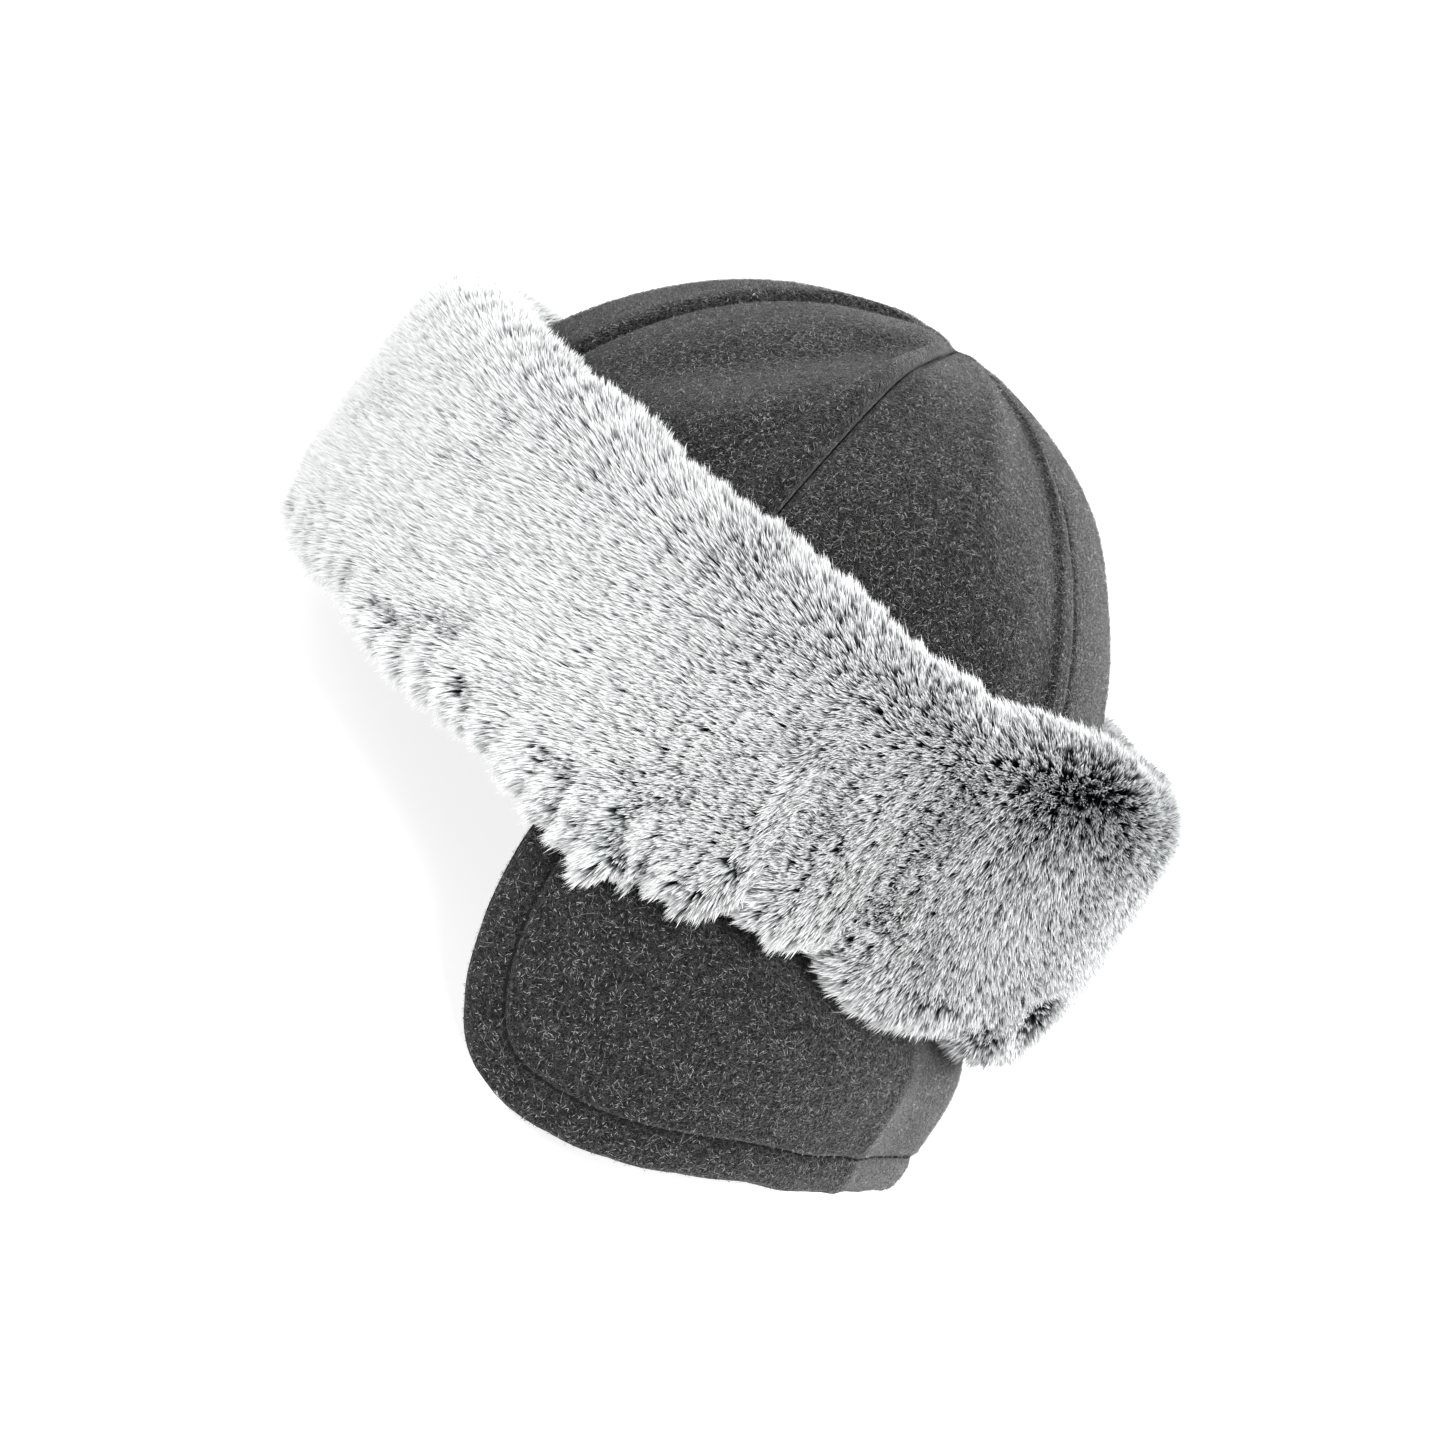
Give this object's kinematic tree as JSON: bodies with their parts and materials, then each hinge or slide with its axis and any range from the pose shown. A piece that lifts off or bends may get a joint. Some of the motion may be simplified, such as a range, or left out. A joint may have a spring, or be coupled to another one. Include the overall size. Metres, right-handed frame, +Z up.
{
  "type": "fur hat with a peak",
  "caption": "Peaked winter cap: a sewn wool felt crown of tapered gores, a deep frosted faux-fur cuff round it and a steep curved felt peak.",
  "frame": {"origin": "the middle of the box's footprint, on the surface that the cap rests on", "axes": "+Z up, -Y to the cap's front, -X to the wearer's right"},
  "size_m": [0.21, 0.2662, 0.1714],
  "materials": {
    "wool_felt": "matte brushed wool",
    "faux_fur": "deep pile, dark at the root and white at the tip"
  },
  "bodies": {
    "root": {"crown_panel_1": "wool_felt", "crown_panel_2": "wool_felt", "crown_panel_3": "wool_felt", "crown_panel_4": "wool_felt", "crown_panel_5": "wool_felt", "crown_panel_6": "wool_felt", "fur_band": "faux_fur", "peak": "wool_felt"}
  },
  "joints": []
}
